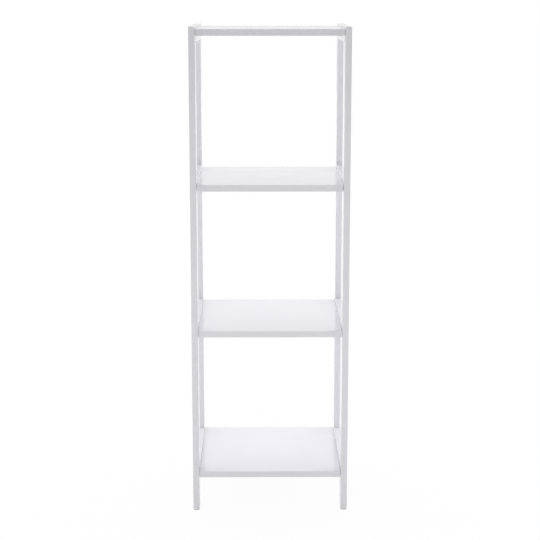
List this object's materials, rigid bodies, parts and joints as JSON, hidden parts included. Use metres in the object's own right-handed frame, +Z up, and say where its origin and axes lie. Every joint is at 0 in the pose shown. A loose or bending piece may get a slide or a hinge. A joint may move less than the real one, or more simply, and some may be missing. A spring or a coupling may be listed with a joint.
{
  "type": "bathroom shelf",
  "caption": "Tall open tower shelf for a bathroom: white lacquered ladder side frames with flat boards screwed between them, standing on small glides.",
  "frame": {"origin": "on the floor under the middle of the shelf", "axes": "+Z up, front faces -Y, +X to the right of someone who faces the front"},
  "size_m": [0.3734, 0.36, 1.15],
  "materials": {
    "white_lacquer": "semi-gloss white lacquer on board",
    "zinc_steel": "zinc plated",
    "cap_plastic": "moulded, satin",
    "glide_plastic": "moulded, matte"
  },
  "bodies": {
    "root": {"bottom_shelf": "white_lacquer", "lower_shelf": "white_lacquer", "upper_shelf": "white_lacquer", "top_shelf": "white_lacquer", "left_front_post": "white_lacquer", "left_front_glide": "glide_plastic", "left_rear_post": "white_lacquer", "left_rear_glide": "glide_plastic", "left_bottom_rail": "white_lacquer", "left_bottom_front_screw": "zinc_steel", "left_bottom_front_cap": "cap_plastic", "left_bottom_rear_screw": "zinc_steel", "left_bottom_rear_cap": "cap_plastic", "left_lower_rail": "white_lacquer", "left_lower_front_screw": "zinc_steel", "left_lower_front_cap": "cap_plastic", "left_lower_rear_screw": "zinc_steel", "left_lower_rear_cap": "cap_plastic", "left_upper_rail": "white_lacquer", "left_upper_front_screw": "zinc_steel", "left_upper_front_cap": "cap_plastic", "left_upper_rear_screw": "zinc_steel", "left_upper_rear_cap": "cap_plastic", "left_top_rail": "white_lacquer", "left_top_front_screw": "zinc_steel", "left_top_front_cap": "cap_plastic", "left_top_rear_screw": "zinc_steel", "left_top_rear_cap": "cap_plastic", "right_front_post": "white_lacquer", "right_front_glide": "glide_plastic", "right_rear_post": "white_lacquer", "right_rear_glide": "glide_plastic", "right_bottom_rail": "white_lacquer", "right_bottom_front_screw": "zinc_steel", "right_bottom_front_cap": "cap_plastic", "right_bottom_rear_screw": "zinc_steel", "right_bottom_rear_cap": "cap_plastic", "right_lower_rail": "white_lacquer", "right_lower_front_screw": "zinc_steel", "right_lower_front_cap": "cap_plastic", "right_lower_rear_screw": "zinc_steel", "right_lower_rear_cap": "cap_plastic", "right_upper_rail": "white_lacquer", "right_upper_front_screw": "zinc_steel", "right_upper_front_cap": "cap_plastic", "right_upper_rear_screw": "zinc_steel", "right_upper_rear_cap": "cap_plastic", "right_top_rail": "white_lacquer", "right_top_front_screw": "zinc_steel", "right_top_front_cap": "cap_plastic", "right_top_rear_screw": "zinc_steel", "right_top_rear_cap": "cap_plastic"}
  },
  "joints": []
}
